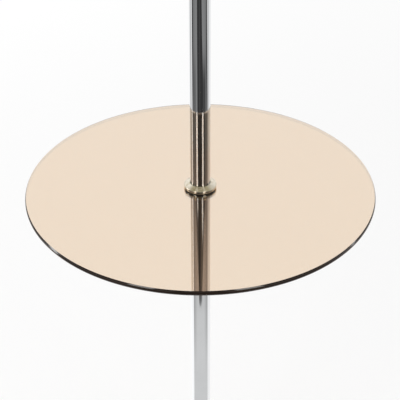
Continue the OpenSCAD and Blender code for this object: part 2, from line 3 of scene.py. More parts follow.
import bpy
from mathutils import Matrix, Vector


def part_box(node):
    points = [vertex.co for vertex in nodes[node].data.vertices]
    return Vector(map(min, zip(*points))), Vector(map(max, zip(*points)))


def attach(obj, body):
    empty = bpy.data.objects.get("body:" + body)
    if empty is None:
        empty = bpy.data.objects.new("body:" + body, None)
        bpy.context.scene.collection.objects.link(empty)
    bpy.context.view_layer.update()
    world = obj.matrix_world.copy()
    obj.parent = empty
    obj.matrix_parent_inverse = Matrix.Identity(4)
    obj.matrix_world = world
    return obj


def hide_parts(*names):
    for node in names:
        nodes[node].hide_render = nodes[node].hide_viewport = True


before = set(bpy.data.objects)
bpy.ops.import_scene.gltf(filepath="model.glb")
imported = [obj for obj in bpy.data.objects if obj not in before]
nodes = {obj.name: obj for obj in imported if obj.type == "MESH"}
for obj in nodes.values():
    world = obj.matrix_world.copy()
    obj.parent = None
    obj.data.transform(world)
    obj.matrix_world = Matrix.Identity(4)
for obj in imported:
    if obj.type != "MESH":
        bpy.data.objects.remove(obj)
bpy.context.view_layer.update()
print("frame loaded:", len(nodes), "CAD nodes")

mm = 0.001


# camera: the photograph's view, from above the table's front

camera = {
    "lens": 109.78, "sensor": 36, "farthest": 60,
    "place": (-0.00048, -1.2748, 1.3603), "tiltDown": 32.756, "roll": -0.0035,
}

bpy.ops.object.select_all(action="DESELECT")
bpy.ops.object.camera_add(location=camera["place"])
cameraObject = bpy.context.object
cameraObject.rotation_mode = "ZXY"      # roll about the view first, then the tilt
cameraObject.rotation_euler = (math.radians(90 - camera["tiltDown"]), 0, camera["roll"])
cameraObject.data.lens = camera["lens"]
cameraObject.data.sensor_width = camera["sensor"]
cameraObject.data.clip_end = camera["farthest"]
bpy.context.scene.camera = cameraObject
bpy.context.scene.view_settings.view_transform = "Standard"
print("camera set")


# shader maths

class Signal:
    # wraps one output of a node, so that shader maths reads as arithmetic
    def __init__(self, tree, socket=None):
        self.tree = tree
        self.socket = socket

    def node(self, kind, settings=None, values=None, output=0):
        # adds a node; its values are numbers, colours or other signals
        made = self.tree.nodes.new("ShaderNode" + kind)
        for name, value in (settings or {}).items():
            setattr(made, name, value)
        for name, value in (values or {}).items():
            if isinstance(value, Signal):
                self.tree.links.new(value.socket, made.inputs[name])
            else:
                made.inputs[name].default_value = value
        return Signal(self.tree, made.outputs[output])

    def maths(self, operation, *others):
        return self.node("Math", {"operation": operation}, dict(enumerate([self, *others])))

    def __add__(self, other):
        return self.maths("ADD", other)

    __radd__ = __add__

    def __sub__(self, other):
        return self.maths("SUBTRACT", other)

    def __rsub__(self, other):
        return self.node("Math", {"operation": "SUBTRACT"}, {0: other, 1: self})

    def __mul__(self, other):
        return self.maths("MULTIPLY", other)

    __rmul__ = __mul__

    def __pow__(self, other):
        return self.maths("POWER", other)

    def __abs__(self):
        return self.maths("ABSOLUTE")

    def __gt__(self, other):
        return self.maths("GREATER_THAN", other)

    def __lt__(self, other):
        return self.maths("LESS_THAN", other)

    def between(self, low, high, smooth=True):
        # 0 below low, 1 above high, and a ramp from one to the other
        kind = "SMOOTHSTEP" if smooth else "LINEAR"
        return self.node("MapRange", {"interpolation_type": kind}, {0: self, 1: low, 2: high})

    def mixColours(self, low, high):
        # low where this signal is 0, high where it is 1
        return self.node("Mix", {"data_type": "RGBA"}, {0: self, 6: low, 7: high}, output=2)


def blend(low, high, share):
    # low where the share is 0, high where it is 1
    return low + share * (high - low)


def band(signal, middle, half, edge):
    # 1 within half of the middle, with soft edges
    return 1 - abs(signal - middle).between(half - edge, half + edge)


def ribs(signal, pitch):
    # a wave along the signal, one crest to each pitch
    return (signal * (2 * math.pi / pitch)).maths("SINE")


def objectPlace(start):
    return start.node("TexCoord", output=3)


def splitPlace(place):
    parts = place.node("SeparateXYZ", values={0: place}).socket.node
    return [Signal(place.tree, parts.outputs[i]) for i in range(3)]


def fromAxis(x, y):
    return (x * x + y * y) ** 0.5


def cloud(place, scale, detail=3, roughness=0.55, stretch=None):
    # soft noise, stretched along an axis where a stretch is given
    if stretch:
        place = place.node("Mapping", values={"Vector": place, "Scale": stretch})
    return place.node("TexNoise", values={
        "Vector": place, "Scale": scale, "Detail": detail, "Roughness": roughness})


def newFinish(name, **constants):
    # a material with one Principled shader; constants go straight on its sockets
    material = bpy.data.materials.new(name)
    material.use_nodes = True
    tree = material.node_tree
    shader = tree.nodes["Principled BSDF"]
    for socketName, value in constants.items():
        shader.inputs[socketName.replace("_", " ")].default_value = value
    return material, shader, Signal(tree)


def feed(shader, socketName, signal):
    signal.tree.links.new(signal.socket, shader.inputs[socketName])


def feedBump(shader, height, strength, distance):
    feed(shader, "Normal", height.node("Bump", values={
        "Height": height, "Strength": strength, "Distance": distance}))


# finishes

shadeRadius = 210 * mm
black = (0, 0, 0, 1)

chrome = {
    "colour": (0.84, 0.85, 0.86), "scuffed": (0.78, 0.79, 0.80), "wearScale": 9, "wearRange": (0.45, 0.75),
    "gloss": 0.03, "smudge": 0.05, "smudgeScale": 38, "smudgeRange": (0.5, 0.8),
    "drawLines": (2600, 2600, 14), "bump": (0.02, 0.0002),
}


def makeChrome():
    material, shader, start = newFinish("brightChrome", Metallic=1.0)
    place = objectPlace(start)
    wear = cloud(place, chrome["wearScale"], detail=4).between(*chrome["wearRange"])
    smudge = cloud(place, chrome["smudgeScale"], detail=5, roughness=0.6).between(*chrome["smudgeRange"])
    feed(shader, "Base Color", wear.mixColours((*chrome["colour"], 1), (*chrome["scuffed"], 1)))
    feed(shader, "Roughness", chrome["gloss"] + smudge * chrome["smudge"])
    drawLines = cloud(place, 1, detail=2, stretch=chrome["drawLines"])
    feedBump(shader, drawLines, *chrome["bump"])
    return material


nickel = {
    "colour": (0.80, 0.74, 0.62), "tarnish": (0.64, 0.56, 0.42), "cloudScale": 160, "cloudRange": (0.4, 0.8),
    "gloss": 0.17, "dullness": 0.10, "grooves": 0.0003, "cloudRelief": 0.6, "bump": (0.05, 0.00005),
}


def makeNickel():
    material, shader, start = newFinish("warmNickel", Metallic=1.0)
    place = objectPlace(start)
    x, y, z = splitPlace(place)
    turned = ribs(fromAxis(x, y), nickel["grooves"])
    cloudy = cloud(place, nickel["cloudScale"], detail=4).between(*nickel["cloudRange"])
    feed(shader, "Base Color", cloudy.mixColours((*nickel["colour"], 1), (*nickel["tarnish"], 1)))
    feed(shader, "Roughness", nickel["gloss"] + cloudy * nickel["dullness"])
    feedBump(shader, turned + cloudy * nickel["cloudRelief"], *nickel["bump"])
    return material


bronzeGlass = {
    "absorbed": (0.782, 0.477, 0.055), "density": 92, "ior": 1.52, "mirrorIor": 2.0,
    "smudge": 0.015, "smudgeScale": 14, "smudgeRange": (0.55, 0.8),
}


def makeGlass():
    # clear at the surface; the colour comes from the sheet's thickness
    material, shader, start = newFinish(
        "bronzeGlass", Transmission_Weight=1.0, IOR=bronzeGlass["ior"], Coat_Weight=1.0,
        Coat_IOR=bronzeGlass["mirrorIor"], Coat_Roughness=0.0)
    shader.inputs["Base Color"].default_value = (1, 1, 1, 1)
    smudge = cloud(objectPlace(start), bronzeGlass["smudgeScale"], detail=4)
    smudge = smudge.between(*bronzeGlass["smudgeRange"])
    feed(shader, "Roughness", smudge * bronzeGlass["smudge"])
    body = start.node("VolumeAbsorption", values={
        "Color": (*bronzeGlass["absorbed"], 1), "Density": bronzeGlass["density"]})
    start.tree.links.new(body.socket, start.tree.nodes["Material Output"].inputs["Volume"])
    return material


blotchRange = (0.3, 0.7)


def makePlain(name, colour, other, roughness, grain=600, bump=0.1, depth=0.0002,
              blotch=60, spread=0.12, **constants):
    # moulded, painted or pressed surfaces: two close colours in soft blotches and a fine grain
    material, shader, start = newFinish(name, **constants)
    place = objectPlace(start)
    blotches = cloud(place, blotch, detail=4).between(*blotchRange)
    fine = cloud(place, grain, detail=3)
    feed(shader, "Base Color", blotches.mixColours((*colour, 1), (*other, 1)))
    feed(shader, "Roughness", roughness + (fine - 0.5) * spread)
    feedBump(shader, fine, bump, depth)
    return material


# a painted dark edge for the table's glass, and a painted glow on its inner side
paintedGlassEdge = {
    "colour": (0.010, 0.006, 0.004), "other": (0.014, 0.008, 0.005), "roughness": 0.06, "ior": 1.45,
    "inside": (0.78, 0.755, 0.73), "paintedFrontGlow": (0.24, 0.21, 0.19), "frontReach": (-0.16, -0.08),
    "arris": (0.08, 0.08, 0.08), "arrisDepth": (2.4 * mm, 3.4 * mm),
}


def makePaintedEdgeGlass():
    # painted shade and painted light: nearly black from outside, standing in for the dark look through the
    # sheet's width; from inside the sheet a painted glow stands in for the room's light, dimmer at its upper
    # arris and at the front
    material = makePlain(
        "paintedEdgeGlass", paintedGlassEdge["colour"], paintedGlassEdge["other"], paintedGlassEdge["roughness"], grain=900, bump=0.02,
        blotch=25, spread=0.05, IOR=paintedGlassEdge["ior"], Emission_Strength=1.0)
    shader = material.node_tree.nodes["Principled BSDF"]
    start = Signal(material.node_tree)
    x, y, z = splitPlace(objectPlace(start))
    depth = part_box("table_glass")[1].z - z
    inside = y.between(*paintedGlassEdge["frontReach"]).mixColours(
        (*paintedGlassEdge["paintedFrontGlow"], 1), (*paintedGlassEdge["inside"], 1))
    inside = depth.between(*paintedGlassEdge["arrisDepth"]).mixColours((*paintedGlassEdge["arris"], 1), inside)
    isInside = start.node("NewGeometry", output=6)
    # the painted glow, only where the edge is seen from inside the sheet
    feed(shader, "Emission Color", isInside.mixColours(black, inside))
    return material


fabric = {
    "colour": (0.80, 0.755, 0.665), "shadow": (0.66, 0.61, 0.52), "thread": 0.0011,
    "slubsAlong": (26, 900, 1), "slubsUp": (900, 30, 1), "alongRange": (0.42, 0.72), "upRange": (0.45, 0.75),
    "shades": {"plain": 0.10, "along": 0.5, "up": 0.3, "weave": 0.10},
    "relief": {"along": 0.8, "up": 0.6, "weave": 0.5}, "bump": (0.25, 0.0003),
    "overlap": 0.006, "overlapEdge": 0.0002, "seamLine": 0.0004, "overlapShade": 0.16, "seamShade": 0.55,
}


def makeFabric():
    material, shader, start = newFinish("creamLinen", Roughness=0.85, Sheen_Weight=0.25, Sheen_Roughness=0.5)
    shader.inputs["Specular IOR Level"].default_value = 0.2
    x, y, z = splitPlace(objectPlace(start))
    around = y.maths("ARCTAN2", x) * shadeRadius
    unrolled = start.node("CombineXYZ", values={0: around, 1: z, 2: 0.0})
    weave = ribs(around, fabric["thread"]) * ribs(z, fabric["thread"])
    along = cloud(unrolled, 1, detail=4, roughness=0.65, stretch=fabric["slubsAlong"])
    along = along.between(*fabric["alongRange"])
    up = cloud(unrolled, 1, detail=4, roughness=0.65, stretch=fabric["slubsUp"])
    up = up.between(*fabric["upRange"])
    shares = fabric["shades"]
    dusk = along * shares["along"] + up * shares["up"] + weave * shares["weave"] + shares["plain"]
    fromSeam = around - shadeRadius * math.pi / 2       # the glued overlap, at the back
    overlap = band(fromSeam, 0, fabric["overlap"], fabric["overlapEdge"])
    seamLine = band(fromSeam, fabric["overlap"], fabric["seamLine"], fabric["seamLine"])
    dusk = dusk + overlap * fabric["overlapShade"] + seamLine * fabric["seamShade"]
    feed(shader, "Base Color", dusk.mixColours((*fabric["colour"], 1), (*fabric["shadow"], 1)))
    shares = fabric["relief"]
    feedBump(shader, weave * shares["weave"] + along * shares["along"] + up * shares["up"], *fabric["bump"])
    return material


tapeWeave = {
    "colour": (0.77, 0.725, 0.63), "other": (0.74, 0.695, 0.60), "rib": 0.0016,
    "unevenScale": 180, "unevenRange": (0.35, 0.75), "unevenRelief": 0.3, "bump": (0.2, 0.0002),
}


def makeTapeWeave():
    material, shader, start = newFinish("creamTape", Roughness=0.8, Sheen_Weight=0.2)
    place = objectPlace(start)
    x, y, z = splitPlace(place)
    around = y.maths("ARCTAN2", x) * shadeRadius
    uneven = cloud(place, tapeWeave["unevenScale"], detail=3).between(*tapeWeave["unevenRange"])
    feed(shader, "Base Color", uneven.mixColours((*tapeWeave["colour"], 1), (*tapeWeave["other"], 1)))
    relief = ribs(around, tapeWeave["rib"]) + uneven * tapeWeave["unevenRelief"]
    feedBump(shader, relief, *tapeWeave["bump"])
    return material


brightChrome = makeChrome()
warmNickel = makeNickel()
tintedGlass = makeGlass()
paintedEdgeGlass = makePaintedEdgeGlass()
creamLinen = makeFabric()
creamTape = makeTapeWeave()
linerWhite = makePlain(
    "linerWhite", (0.86, 0.855, 0.83), (0.85, 0.84, 0.815), 0.42, grain=900, bump=0.08, blotch=25)
whiteEnamel = makePlain("whiteEnamel", (0.82, 0.81, 0.78), (0.77, 0.76, 0.72), 0.38, grain=700, bump=0.15)
blackPhenolic = makePlain(
    "blackPhenolic", (0.022, 0.020, 0.018), (0.030, 0.026, 0.022), 0.22, grain=900, bump=0.03)
blackNylon = makePlain(
    "blackNylon", (0.022, 0.022, 0.023), (0.032, 0.032, 0.033), 0.5, grain=1200, bump=0.2)
darkRubber = makePlain(
    "darkRubber", (0.020, 0.019, 0.018), (0.032, 0.030, 0.028), 0.65, grain=1500, bump=0.25)
darkFelt = makePlain(
    "darkFelt", (0.046, 0.046, 0.049), (0.056, 0.056, 0.060), 0.95, grain=2600, bump=1, depth=0.0008,
    Sheen_Weight=0.4)
rawIron = makePlain(
    "rawIron", (0.10, 0.098, 0.095), (0.16, 0.15, 0.14), 0.65, grain=500, bump=0.6, depth=0.0006,
    Metallic=0.7)
zincSteel = makePlain(
    "zincSteel", (0.62, 0.63, 0.64), (0.52, 0.53, 0.55), 0.34, grain=900, bump=0.08, Metallic=1.0)
polishedBrass = makePlain(
    "polishedBrass", (0.83, 0.62, 0.30), (0.70, 0.50, 0.22), 0.2, grain=1000, bump=0.05, Metallic=1.0)
glazedPorcelain = makePlain(
    "glazedPorcelain", (0.83, 0.82, 0.78), (0.79, 0.77, 0.72), 0.14, grain=600, bump=0.04,
    Coat_Weight=0.6)
ivoryNylon = makePlain("ivoryNylon", (0.76, 0.74, 0.68), (0.71, 0.69, 0.62), 0.45, grain=900, bump=0.1)
cableSheath = makePlain("cableSheath", (0.78, 0.78, 0.75), (0.72, 0.72, 0.69), 0.5, grain=900, bump=0.1)
brightAluminium = makePlain(
    "brightAluminium", (0.80, 0.80, 0.80), (0.70, 0.70, 0.71), 0.26, grain=1000, bump=0.06, Metallic=1.0)
opalWhite = makePlain(
    "opalWhite", (0.90, 0.895, 0.87), (0.88, 0.87, 0.845), 0.12, grain=300, bump=0.02, Coat_Weight=0.8)
print("finishes made")


# modelling helpers

pinpoint = 0.001 * mm       # a ring this small merges into one point on the axis
drillSides = 48


def edgeCircle(name, radius, height, sides):
    # a ring of edges round the pole's axis, in edit mode and selected
    bpy.ops.object.select_all(action="DESELECT")
    bpy.ops.mesh.primitive_circle_add(vertices=sides, radius=radius, location=(0, 0, height))
    bpy.ops.object.transform_apply(location=True, rotation=True, scale=True)
    piece = bpy.context.object
    piece.name = name
    piece.data.name = name
    bpy.ops.object.mode_set(mode="EDIT")
    bpy.ops.mesh.select_all(action="SELECT")
    return piece


def heldOutline(outline, reach=0.7 * mm):
    # adds a point near both ends of every long stretch, so that its shading stays true
    held = []
    for (radius, height), (nextRadius, nextHeight) in zip(outline, outline[1:] + outline[:1]):
        held.append((radius, height))
        length = math.hypot(nextRadius - radius, nextHeight - height)
        if length > 4 * reach:
            for share in (reach / length, 1 - reach / length):
                held.append((blend(radius, nextRadius, share), blend(height, nextHeight, share)))
    return held


def turnPiece(name, outline, sides=128):
    # pulls a ring through the outline's (radius, height) points, as on a lathe, and closes it
    outline = heldOutline(outline)
    (radius, height), rest = outline[0], outline[1:] + outline[:1]
    piece = edgeCircle(name, radius, height, sides)
    for nextRadius, nextHeight in rest:
        bpy.ops.mesh.extrude_region_move(TRANSFORM_OT_translate={"value": (0, 0, nextHeight - height)})
        grow = nextRadius / radius
        bpy.ops.transform.resize(value=(grow, grow, 1), center_override=(0, 0, nextHeight))
        radius, height = nextRadius, nextHeight
    bpy.ops.mesh.select_all(action="SELECT")
    bpy.ops.mesh.remove_doubles(threshold=2 * pinpoint)
    bpy.ops.mesh.delete_loose(use_verts=True, use_edges=True, use_faces=False)
    bpy.ops.mesh.select_all(action="SELECT")
    bpy.ops.mesh.normals_make_consistent(inside=False)
    bpy.ops.object.mode_set(mode="OBJECT")
    return piece


def arc(centreRadius, centreHeight, radius, fromAngle, toAngle, steps):
    # points of a rounded edge, for an outline
    points = []
    for step in range(steps + 1):
        angle = math.radians(fromAngle + (toAngle - fromAngle) * step / steps)
        distance = max(centreRadius + radius * math.cos(angle), pinpoint)
        points.append((distance, centreHeight + radius * math.sin(angle)))
    return points


def activate(piece):
    bpy.ops.object.select_all(action="DESELECT")
    piece.select_set(True)
    bpy.context.view_layer.objects.active = piece


def roundEdges(piece, width, segments=2, angle=30):
    # breaks the sharp edges, as a light touch of a file does
    activate(piece)
    bevel = piece.modifiers.new("brokenEdges", "BEVEL")
    bevel.width = width
    bevel.segments = segments
    bevel.limit_method = "ANGLE"
    bevel.angle_limit = math.radians(angle)
    bpy.ops.object.modifier_apply(modifier=bevel.name)


def smooth(piece, angle=30):
    activate(piece)
    bpy.ops.object.shade_smooth_by_angle(angle=math.radians(angle))


def drillHole(piece, radius, depth, place, lean=0.0):
    # cuts a round hole, upright or leant over about the x axis
    bpy.ops.object.select_all(action="DESELECT")
    bpy.ops.mesh.primitive_cylinder_add(
        vertices=drillSides, radius=radius, depth=depth, rotation=(math.radians(lean), 0, 0),
        location=place)
    drill = bpy.context.object
    activate(piece)
    cut = piece.modifiers.new("drilledHole", "BOOLEAN")
    cut.object = drill
    cut.operation = "DIFFERENCE"
    bpy.ops.object.modifier_apply(modifier=cut.name)
    activate(drill)
    bpy.ops.object.delete()


def settle(piece, body, material, slot, *replaced):
    # the finished piece gets its material and its body, and the CAD nodes it stands for are hidden
    piece.data.materials.clear()
    piece.data.materials.append(material)
    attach(piece, body)
    if replaced:
        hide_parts(*replaced)
    return piece


def heights(node):
    low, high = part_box(node)
    return low.z, high.z


def outwardness(face):
    # over 0 where a face looks away from the pole's axis, under 0 where it looks at it
    return face.normal.x * face.center.x + face.normal.y * face.center.y


def copyPiece(piece, name, turned=0.0):
    # a copy with its own mesh, turned about the pole's axis
    activate(piece)
    bpy.ops.object.duplicate(linked=False)
    made = bpy.context.object
    made.name = name
    made.data.name = name
    made.rotation_euler = (0, 0, math.radians(turned))
    bpy.ops.object.transform_apply(location=True, rotation=True, scale=True)
    return made


def joinPieces(pieces):
    activate(pieces[0])
    for piece in pieces:
        piece.select_set(True)
    bpy.ops.object.join()
    return bpy.context.object


# poles

pole = {"radius": 12.5 * mm, "wall": 1.5 * mm, "endEdge": 0.3 * mm, "sides": 160}


def makePole(name, node):
    foot, head = heights(node)
    outline = [
        (pole["radius"] - pole["wall"], foot), (pole["radius"], foot),
        (pole["radius"], head), (pole["radius"] - pole["wall"], head),
    ]
    piece = turnPiece(name, outline, pole["sides"])
    roundEdges(piece, pole["endEdge"])
    smooth(piece)
    return settle(piece, "stand", brightChrome, "pole_chrome", node)


makePole("lowerPoleTube", "lower_pole")
makePole("upperPoleTube", "upper_pole")
print("poles made")


# collars

collar = {
    "radius": 20 * mm, "rim": 3.4 * mm, "height": 6.5 * mm, "lipRadius": 13.1 * mm,
    "seatRadius": 12.7 * mm, "seatDepth": 3 * mm, "bore": 5.25 * mm, "edge": 0.32 * mm, "sides": 160,
}


def makeCollar(name, node, flatSideUp):
    foot, head = heights(node)
    flat, way = (head, -1) if flatSideUp else (foot, 1)
    top = collar["height"]
    outline = [
        (collar["bore"], 0), (collar["radius"], 0), (collar["radius"], collar["rim"]),
        (collar["lipRadius"], top), (collar["seatRadius"], top),
        (collar["seatRadius"], top - collar["seatDepth"]), (collar["bore"], top - collar["seatDepth"]),
    ]
    outline = [(radius, flat + way * height) for radius, height in outline]
    piece = turnPiece(name, outline, collar["sides"])
    roundEdges(piece, collar["edge"], segments=3)
    smooth(piece)
    return settle(piece, "stand", warmNickel, "collar_nickel", node)


makeCollar("footCollar", "base_collar", False)
makeCollar("underGlassCollar", "lower_collar", True)
makeCollar("tableCollar", "upper_collar", False)
makeCollar("headCollar", "head_collar", True)
print("collars made")


# glass table

table = {
    "radius": 215 * mm, "hole": 7 * mm, "edgeRadius": 4.6 * mm, "edgeFrom": 0.1, "steps": 12,
    "sides": 288,
}


def makeTable():
    low, high = heights("table_glass")
    centre = table["radius"] - table["edgeRadius"]
    rise = math.degrees(math.asin((high - low) / 2 / table["edgeRadius"]))
    outline = [(table["hole"], low)]
    outline += arc(centre, (low + high) / 2, table["edgeRadius"], -rise, rise, table["steps"])
    outline += [(table["hole"], high)]
    piece = turnPiece("tableTop", outline, table["sides"])
    smooth(piece)
    piece.visible_shadow = False    # a clear sheet hardly darkens what is under it
    settle(piece, "stand", tintedGlass, "table_glass", "table_glass")
    piece.data.materials.append(paintedEdgeGlass)
    for face in piece.data.polygons:    # the edge faces get the painted dark edge, which stands in for its nearly black look through the sheet's width
        face.material_index = int(outwardness(face) > table["edgeFrom"] * table["radius"])
    return piece


makeTable()
print("table made")


# base

base = {
    "radius": 140 * mm, "wall": 1.5 * mm, "edge": 8 * mm, "hole": 5.25 * mm, "steps": 12, "sides": 224,
    "glandHole": 5.1 * mm, "glandHeight": 13.5 * mm,
}


def makeBaseCover():
    low, high = heights("base_cover")
    inner = base["edge"] - base["wall"]
    outline = [(base["hole"], high)]
    outline += arc(base["radius"] - base["edge"], high - base["edge"], base["edge"], 90, 0, base["steps"])
    outline += [(base["radius"], low), (base["radius"] - base["wall"], low)]
    outline += arc(base["radius"] - base["edge"], high - base["edge"], inner, 0, 90, base["steps"])
    outline += [(base["hole"], high - base["wall"])]
    piece = turnPiece("baseCover", outline, base["sides"])
    drillHole(piece, base["glandHole"], base["edge"] * 2, (0, base["radius"], base["glandHeight"]), lean=90)
    smooth(piece)
    return settle(piece, "stand", brightChrome, "pole_chrome", "base_cover")


makeBaseCover()
print("base made")


# switch housing and pull

housing = {
    "radius": 33 * mm, "wall": 1.2 * mm, "edge": 3 * mm, "nozzleLedge": 0.7 * mm, "steps": 8,
    "sides": 128,
}
lid = {"thickness": 1.5 * mm, "fit": 0.2 * mm, "edge": 0.35 * mm}


def makeHousing():
    low, high = heights("switch_housing")
    inner = housing["edge"] - housing["wall"]
    corner = housing["radius"] - housing["edge"]
    outline = [(collar["bore"], low)]
    outline += arc(corner, low + housing["edge"], housing["edge"], -90, 0, housing["steps"])
    outline += [(housing["radius"], high), (housing["radius"] - housing["wall"], high)]
    outline += arc(corner, low + housing["edge"], inner, 0, -90, housing["steps"])
    outline += [(collar["bore"], low + housing["wall"])]
    piece = turnPiece("switchCup", outline, housing["sides"])
    nozzleLow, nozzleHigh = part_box("chain_nozzle")
    nozzleHole = (nozzleHigh.x - nozzleLow.x) / 2 - housing["nozzleLedge"]
    drillHole(piece, nozzleHole, 4 * housing["wall"], ((nozzleLow.x + nozzleHigh.x) / 2, 0, low))
    smooth(piece)
    return settle(piece, "stand", brightChrome, "pole_chrome", "switch_housing")


def makeLid():
    low, high = heights("housing_lid")
    under = high - lid["thickness"]
    ring = housing["radius"] - housing["wall"] - lid["fit"]
    outline = [
        (collar["bore"], under), (ring - housing["wall"], under), (ring - housing["wall"], low),
        (ring, low), (ring, under), (housing["radius"], under), (housing["radius"], high),
        (collar["bore"], high),
    ]
    piece = turnPiece("switchLid", outline, housing["sides"])
    roundEdges(piece, lid["edge"], segments=3)
    smooth(piece)
    return settle(piece, "stand", brightChrome, "pole_chrome", "housing_lid")


makeHousing()
makeLid()

bell = {
    "outline": [
        (4.9, 0), (5.7, 0), (6.0, 0.4), (6.0, 1.1), (5.7, 1.6), (5.2, 2.1), (4.7, 3.4), (4.1, 5.8),
        (3.5, 8.8), (3.0, 12.0), (2.6, 14.6), (2.4, 16.2), (2.1, 16.9), (1.7, 17.0), (1.66, 14.2),
        (0.4, 14.0), (0.4, 7.2), (2.2, 6.8), (3.3, 4.6), (4.3, 2.2),
    ],
    "sides": 64, "smoothAngle": 40,
}


def makeBell():
    low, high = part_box("pull_bell")
    outline = [(radius * mm, low.z + height * mm) for radius, height in bell["outline"]]
    piece = turnPiece("pullBell", outline, bell["sides"])
    activate(piece)
    piece.location.x = (low.x + high.x) / 2
    bpy.ops.object.transform_apply(location=True, rotation=True, scale=True)
    smooth(piece, bell["smoothAngle"])
    return settle(piece, "pull", brightChrome, "pole_chrome", "pull_bell")


makeBell()
print("switch and pull made")


# lampholder

holder = {
    "radius": 19.5 * mm, "wall": 2.2 * mm, "edge": 4 * mm, "cupBore": 5.05 * mm, "steps": 8, "sides": 112,
    "skirt": 19.45 * mm, "bore": 14.55 * mm, "ledge": 3.4 * mm, "floor": 4 * mm, "plain": 2 * mm,
    "pitch": 2.2 * mm, "threadDepth": 0.9 * mm, "threadShares": (0.3, 0.5, 0.8), "smoothAngle": 40,
}


def makeHolderCup():
    low, high = heights("holder_cup")
    corner = holder["radius"] - holder["edge"]
    bore = holder["cupBore"]
    outline = [(bore, low)]
    outline += arc(corner, low + holder["edge"], holder["edge"], -90, 0, holder["steps"])
    outline += [(holder["radius"], high), (holder["radius"] - holder["wall"], high)]
    outline += [(holder["radius"] - holder["wall"], low + holder["wall"]), (bore, low + holder["wall"])]
    piece = turnPiece("holderCup", outline, holder["sides"])
    smooth(piece)
    return settle(piece, "stand", blackPhenolic, "bakelite", "holder_cup")


def makeHolderSkirt():
    low, high = heights("holder_skirt")
    outer, root = holder["skirt"], holder["skirt"] - holder["threadDepth"]
    bore, ledge = holder["bore"], holder["bore"] + holder["ledge"]
    rootFrom, rootTo, crestFrom = holder["threadShares"]
    height = low + holder["plain"]
    outline = [(ledge, low), (outer, low), (outer, height)]
    while height + holder["pitch"] < high - holder["plain"]:     # rounded rings of the shade's thread
        outline += [(root, height + rootFrom * holder["pitch"]), (root, height + rootTo * holder["pitch"])]
        outline += [(outer, height + crestFrom * holder["pitch"]), (outer, height + holder["pitch"])]
        height += holder["pitch"]
    outline += [(outer, high), (bore, high), (bore, low + holder["floor"]), (ledge, low + holder["floor"])]
    piece = turnPiece("holderSkirt", outline, holder["sides"])
    smooth(piece, holder["smoothAngle"])
    return settle(piece, "stand", blackPhenolic, "bakelite", "holder_skirt")


makeHolderCup()
makeHolderSkirt()
print("lampholder made")


# bulb

bulb = {
    "radius": 30 * mm, "neckRadius": 13.1 * mm, "neck": 4.5 * mm, "neckBend": 1 * mm, "wall": 0.8 * mm,
    "steps": 28, "sides": 112, "smoothAngle": 50,
}


def makeBulb():
    low, high = heights("bulb_glass")
    centre = high - bulb["radius"]
    rise = centre - low - bulb["neck"]
    reach = math.hypot(rise, bulb["neckRadius"])
    lean = math.degrees(math.asin(bulb["radius"] / reach) - math.atan2(bulb["neckRadius"], rise))
    neckTop = low + bulb["neck"] - bulb["neckBend"]
    neckInside = bulb["neckRadius"] - bulb["wall"]
    outline = [(bulb["neckRadius"], low), (bulb["neckRadius"], neckTop)]
    outline += arc(0, centre, bulb["radius"], -lean, 90, bulb["steps"])
    outline += arc(0, centre, bulb["radius"] - bulb["wall"], 90, -lean, bulb["steps"])
    outline += [(neckInside, neckTop), (neckInside, low)]
    piece = turnPiece("opalBulb", outline, bulb["sides"])
    smooth(piece, bulb["smoothAngle"])
    return settle(piece, "stand", opalWhite, "bulb_opal", "bulb_glass")


makeBulb()
print("bulb made")


# shade

shade = {
    "radius": shadeRadius, "wall": 1 * mm, "seam": 0.25 * mm, "seamWidth": 12 * mm, "upright": 0.5,
    "linerFrom": -0.01, "smoothAngle": 20, "tape": 0.8 * mm, "tapeHeight": 9 * mm, "tapeEdge": 0.3 * mm,
    "gap": 0.05 * mm, "sides": 240,
}


def makeShadePanel():
    low, high = heights("shade_panel")
    outer, inner = shade["radius"] - shade["seam"], shade["radius"] - shade["wall"]
    outline = [(inner, low), (outer, low), (outer, high), (inner, high)]
    piece = turnPiece("shadeDrum", outline, shade["sides"])
    activate(piece)     # the overlap where the sheet's ends are glued, at the back
    bpy.ops.object.mode_set(mode="EDIT")
    bpy.ops.mesh.select_all(action="DESELECT")
    bpy.ops.object.mode_set(mode="OBJECT")
    halfSeam = shade["seamWidth"] / 2 / shade["radius"]
    for face in piece.data.polygons:
        atBack = abs(math.atan2(face.center.x, face.center.y)) < halfSeam
        face.select = atBack and outwardness(face) > 0 and abs(face.normal.z) < shade["upright"]
    bpy.ops.object.mode_set(mode="EDIT")
    bpy.ops.mesh.extrude_region_move(TRANSFORM_OT_translate={"value": (0, 0, 0)})
    grow = shade["radius"] / outer
    bpy.ops.transform.resize(value=(grow, grow, 1), center_override=(0, 0, 0))
    bpy.ops.object.mode_set(mode="OBJECT")
    smooth(piece, shade["smoothAngle"])
    settle(piece, "stand", creamLinen, "shade_fabric", "shade_panel")
    piece.data.materials.append(linerWhite)
    for face in piece.data.polygons:    # the liner is the inner face
        face.material_index = int(outwardness(face) < shade["linerFrom"])
    return piece


def makeTape(name, node, atTop):
    low, high = heights(node)
    end, way = (high, -1) if atTop else (low, 1)
    outside, inside = shade["radius"] + shade["tape"], shade["radius"] + shade["gap"]
    folded = shade["radius"] - shade["wall"]
    outline = [
        (folded, 0), (outside, 0), (outside, shade["tapeHeight"]), (inside, shade["tapeHeight"]),
        (inside, shade["tape"]), (folded, shade["tape"]),
    ]
    outline = [(radius, end + way * height) for radius, height in outline]
    piece = turnPiece(name, outline, shade["sides"])
    roundEdges(piece, shade["tapeEdge"], segments=3)
    smooth(piece)
    return settle(piece, "stand", creamTape, "trim_fabric", node)


wire = {
    "radius": 2 * mm, "ringRadius": 206.9 * mm, "ringTurn": 330, "ringSteps": 11, "bend": 10 * mm,
    "bendSteps": 10, "armStart": 31.05 * mm, "armSides": 16, "otherArms": (120, 240), "smoothAngle": 60,
}


